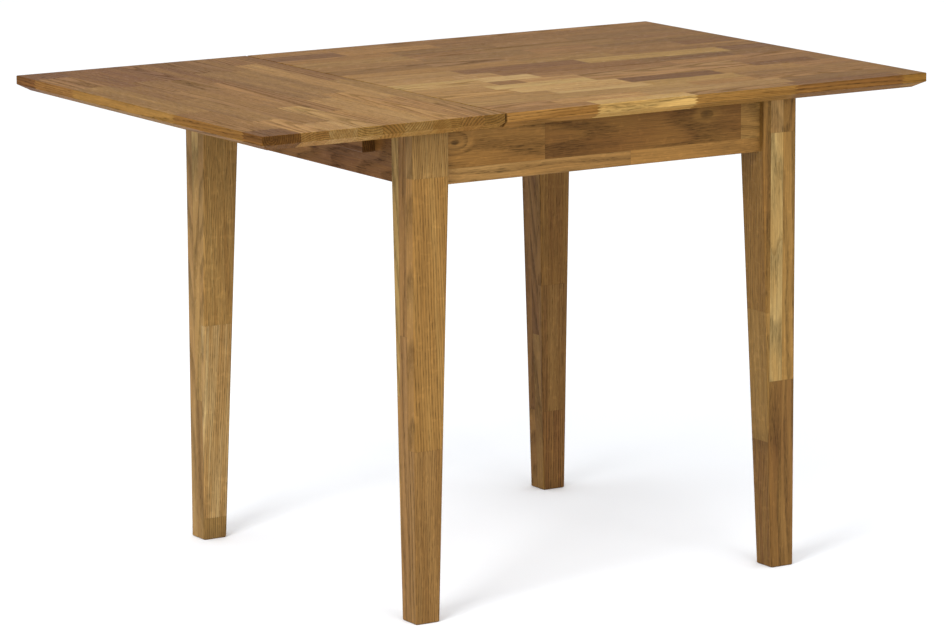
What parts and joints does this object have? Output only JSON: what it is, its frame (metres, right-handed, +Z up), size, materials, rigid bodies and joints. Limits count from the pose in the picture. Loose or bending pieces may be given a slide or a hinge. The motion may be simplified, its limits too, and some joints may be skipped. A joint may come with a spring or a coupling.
{
  "type": "drop leaf table",
  "caption": "Square solid wood table on tapered legs, with a hinged leaf along one end and a top that slides out over its frame to carry the raised leaf.",
  "frame": {"origin": "on the floor, under the middle of the spread top with the leaf up and the top slid out", "axes": "+X along the length towards the main panel's end, away from the leaf; +Y across the table; +Z up"},
  "size_m": [1.15, 0.75, 0.74],
  "materials": {
    "oak_top": "oiled solid oak, laminated staves",
    "oak_frame": "oiled solid oak, laminated",
    "oak_inner": "plain planed oak",
    "dowel_wood": "turned beech",
    "hinge_steel": "satin steel",
    "zinc_steel": "bright zinc plated"
  },
  "bodies": {
    "frame": {"apron_dowels": "dowel_wood", "apron_front": "oak_frame", "apron_left": "oak_frame", "apron_rear": "oak_frame", "apron_right": "oak_frame", "bearer_dowels": "dowel_wood", "bearer_front": "oak_inner", "bearer_rear": "oak_inner", "block_screws": "zinc_steel", "bolt_nuts": "zinc_steel", "bolt_washers": "zinc_steel", "corner_block_front_left": "oak_inner", "corner_block_front_right": "oak_inner", "corner_block_rear_left": "oak_inner", "corner_block_rear_right": "oak_inner", "hanger_bolts": "zinc_steel", "leg_front_left": "oak_frame", "leg_front_right": "oak_frame", "leg_rear_left": "oak_frame", "leg_rear_right": "oak_frame"},
    "top": {"batten_screws": "zinc_steel", "hinge_front_leaf_plate": "hinge_steel", "hinge_front_main_plate": "hinge_steel", "hinge_middle_leaf_plate": "hinge_steel", "hinge_middle_main_plate": "hinge_steel", "hinge_pins": "hinge_steel", "hinge_rear_leaf_plate": "hinge_steel", "hinge_rear_main_plate": "hinge_steel", "hinge_screws": "hinge_steel", "leaf": "oak_top", "main_top": "oak_top", "runner_front": "oak_inner", "runner_rear": "oak_inner", "runner_screws": "zinc_steel", "stop_batten": "oak_inner"}
  },
  "joints": [
    {"name": "top_slide", "type": "slide", "parent": "frame", "child": "top", "axis": [1, 0, 0], "range_m": [-0.173, 0]}
  ]
}
